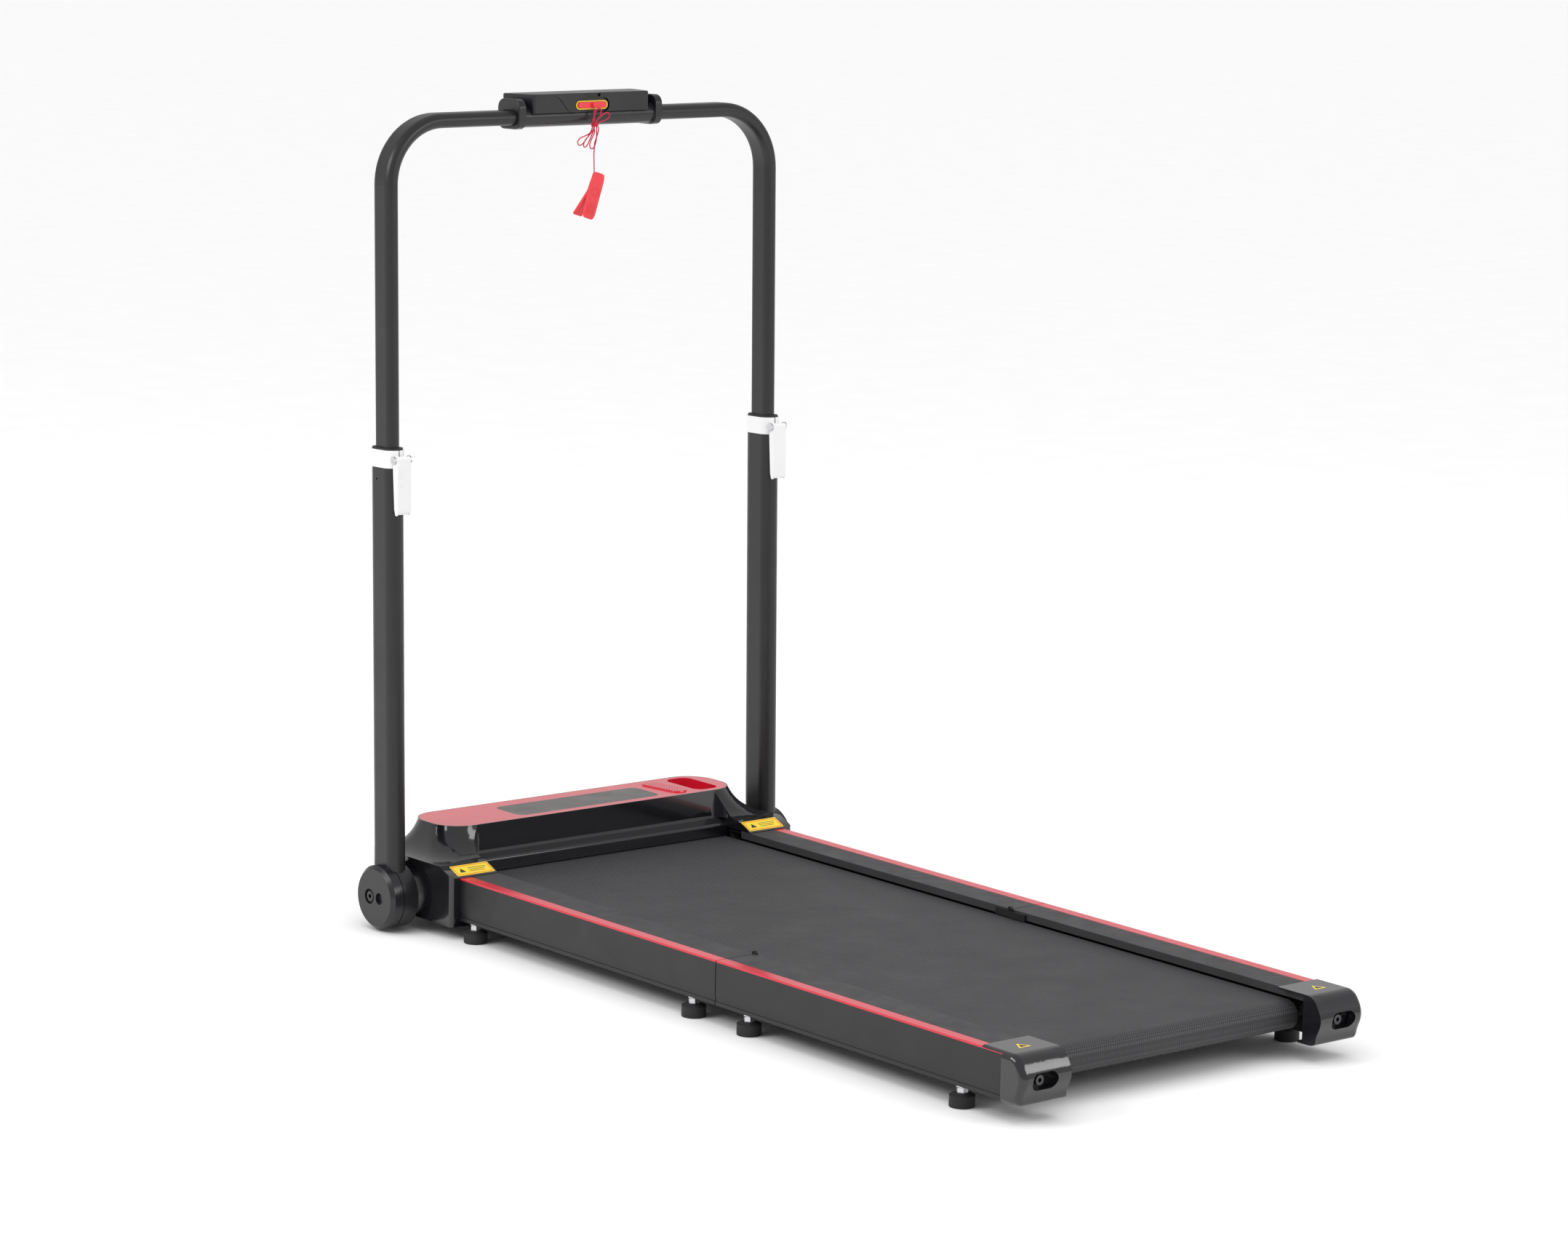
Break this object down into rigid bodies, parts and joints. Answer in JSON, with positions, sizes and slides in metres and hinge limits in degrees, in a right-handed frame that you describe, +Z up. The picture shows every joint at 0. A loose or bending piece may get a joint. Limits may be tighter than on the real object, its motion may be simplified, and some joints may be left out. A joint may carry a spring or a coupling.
{
  "type": "folding motorised treadmill",
  "caption": "Low flat-deck motorised treadmill that folds across its middle, with a telescoping U handle, a small console and a pull-out safety key on a cord.",
  "frame": {"origin": "on the floor, under the middle of the bounding box", "axes": "+Z up, +Y the way the walker faces, toward the hood and handle, +X to the walker's right"},
  "size_m": [0.704, 1.3302, 1.1308],
  "materials": {
    "rail_black": "satin",
    "foot_rail": "fine grain",
    "red_trim": "gloss",
    "board": "waxed board",
    "frame_black": "powder coat",
    "belt": "fine woven diamond texture",
    "steel": "turned",
    "rubber_foot": "matte",
    "zinc": "bright zinc",
    "gloss_black": "high gloss",
    "red_gloss": "gloss",
    "lens": "satin dark window",
    "matte_black": "matte",
    "rubber_belt": "matte",
    "steel_dark": "black oxide",
    "hub_black": "satin gloss",
    "tube_black": "satin powder coat",
    "clamp_white": "bright white",
    "console_black": "satin",
    "yellow": "gloss",
    "red_key": "satin",
    "red_cord": "twisted cord"
  },
  "bodies": {
    "deck_front": {"rail_front_left": "rail_black", "rail_front_right": "rail_black", "foot_rails_front": "foot_rail", "trim_stripes_front": "red_trim", "deck_board_front": "board", "cross_members_front": "frame_black", "running_belt": "belt", "front_axle": "steel", "hinge_plates_front": "frame_black", "foot_pads_front": "rubber_foot", "foot_studs_front": "zinc", "side_covers": "gloss_black", "hood_cover": "gloss_black", "hood_panel": "red_gloss", "display_lens": "lens", "hand_grip": "red_gloss", "bottom_pan": "matte_black", "motor": "matte_black", "drive_belt": "rubber_belt", "control_board": "matte_black", "power_ports": "matte_black", "pivot_shafts": "steel"},
    "deck_rear": {"rail_rear_left": "rail_black", "rail_rear_right": "rail_black", "foot_rails_rear": "foot_rail", "trim_stripes_rear": "red_trim", "deck_board_rear": "board", "cross_members_rear": "frame_black", "rear_axle": "steel", "hinge_plates_rear": "frame_black", "foot_pads_rear": "rubber_foot", "foot_studs_rear": "zinc", "end_cap_left": "gloss_black", "end_cap_right": "gloss_black", "cap_bolts": "steel_dark"},
    "mast": {"pivot_hubs": "hub_black", "pivot_covers": "hub_black", "pivot_screws": "steel_dark", "lower_tubes": "tube_black", "clamp_collars": "clamp_white", "bushings": "matte_black", "pinch_screws": "zinc"},
    "handle": {"upper_tube": "tube_black", "handle_saddle": "console_black", "console_body": "console_black", "console_lid": "console_black", "key_socket": "yellow"},
    "lever_left": {"clamp_lever_left": "clamp_white"},
    "lever_right": {"clamp_lever_right": "clamp_white"},
    "front_roller": {"front_roller": "steel"},
    "rear_roller": {"rear_roller": "steel"},
    "motor_rotor": {"motor_shaft": "steel"},
    "rocker": {"power_switch": "red_gloss"},
    "safety_key": {"safety_key": "red_key", "key_cord": "red_cord", "key_cord_hank": "red_cord", "clip_front_jaw": "red_key", "clip_spring": "zinc"},
    "clip_jaw": {"clip_rear_jaw": "red_key"}
  },
  "joints": [
    {"name": "deck_fold", "type": "hinge", "parent": "deck_front", "child": "deck_rear", "pos_m": [0, -0.0751, 0.0852], "axis": [-1, 0, 0], "range_deg": [0, 179], "deforming": ["running_belt"]},
    {"name": "mast_fold", "type": "hinge", "parent": "deck_front", "child": "mast", "pos_m": [0, 0.5849, 0.047], "axis": [1, 0, 0], "range_deg": [0, 86]},
    {"name": "handle_slide", "type": "slide", "parent": "mast", "child": "handle", "axis": [0, 0.0237, 0.9997], "range_m": [-0.3, 0]},
    {"name": "lever_left_open", "type": "hinge", "parent": "mast", "child": "lever_left", "pos_m": [-0.3255, 0.5672, 0.64959], "axis": [-1, 0, 0], "range_deg": [0, 88]},
    {"name": "lever_right_open", "type": "hinge", "parent": "mast", "child": "lever_right", "pos_m": [0.3255, 0.5672, 0.64959], "axis": [-1, 0, 0], "range_deg": [0, 88]},
    {"name": "front_roller_spin", "type": "hinge", "parent": "deck_front", "child": "front_roller", "pos_m": [0, 0.5469, 0.0535], "axis": [-1, 0, 0], "continuous": true},
    {"name": "rear_roller_spin", "type": "hinge", "parent": "deck_rear", "child": "rear_roller", "pos_m": [0, -0.5971, 0.0535], "axis": [-1, 0, 0], "continuous": true},
    {"name": "motor_spin", "type": "hinge", "parent": "deck_front", "child": "motor_rotor", "pos_m": [0.06, 0.6199, 0.066], "axis": [-1, 0, 0], "continuous": true},
    {"name": "rocker_tilt", "type": "hinge", "parent": "deck_front", "child": "rocker", "pos_m": [-0.1, 0.6589, 0.052], "axis": [0, 0, 1], "range_deg": [0, 19]},
    {"name": "key_pull", "type": "slide", "parent": "handle", "child": "safety_key", "axis": [0, -0.9997, 0.0237], "range_m": [0, 0.015]},
    {"name": "clip_squeeze", "type": "hinge", "parent": "safety_key", "child": "clip_jaw", "pos_m": [-0.00089, 0.58083, 0.99563], "axis": [-0.9563, 0, 0.2924], "range_deg": [0, 22], "stiffness_Nm_per_rad": 0.3}
  ],
  "couplings": [
    {"joint": "rear_roller_spin", "follows": "front_roller_spin", "ratio": 1},
    {"joint": "motor_spin", "follows": "front_roller_spin", "ratio": 2.1667}
  ]
}
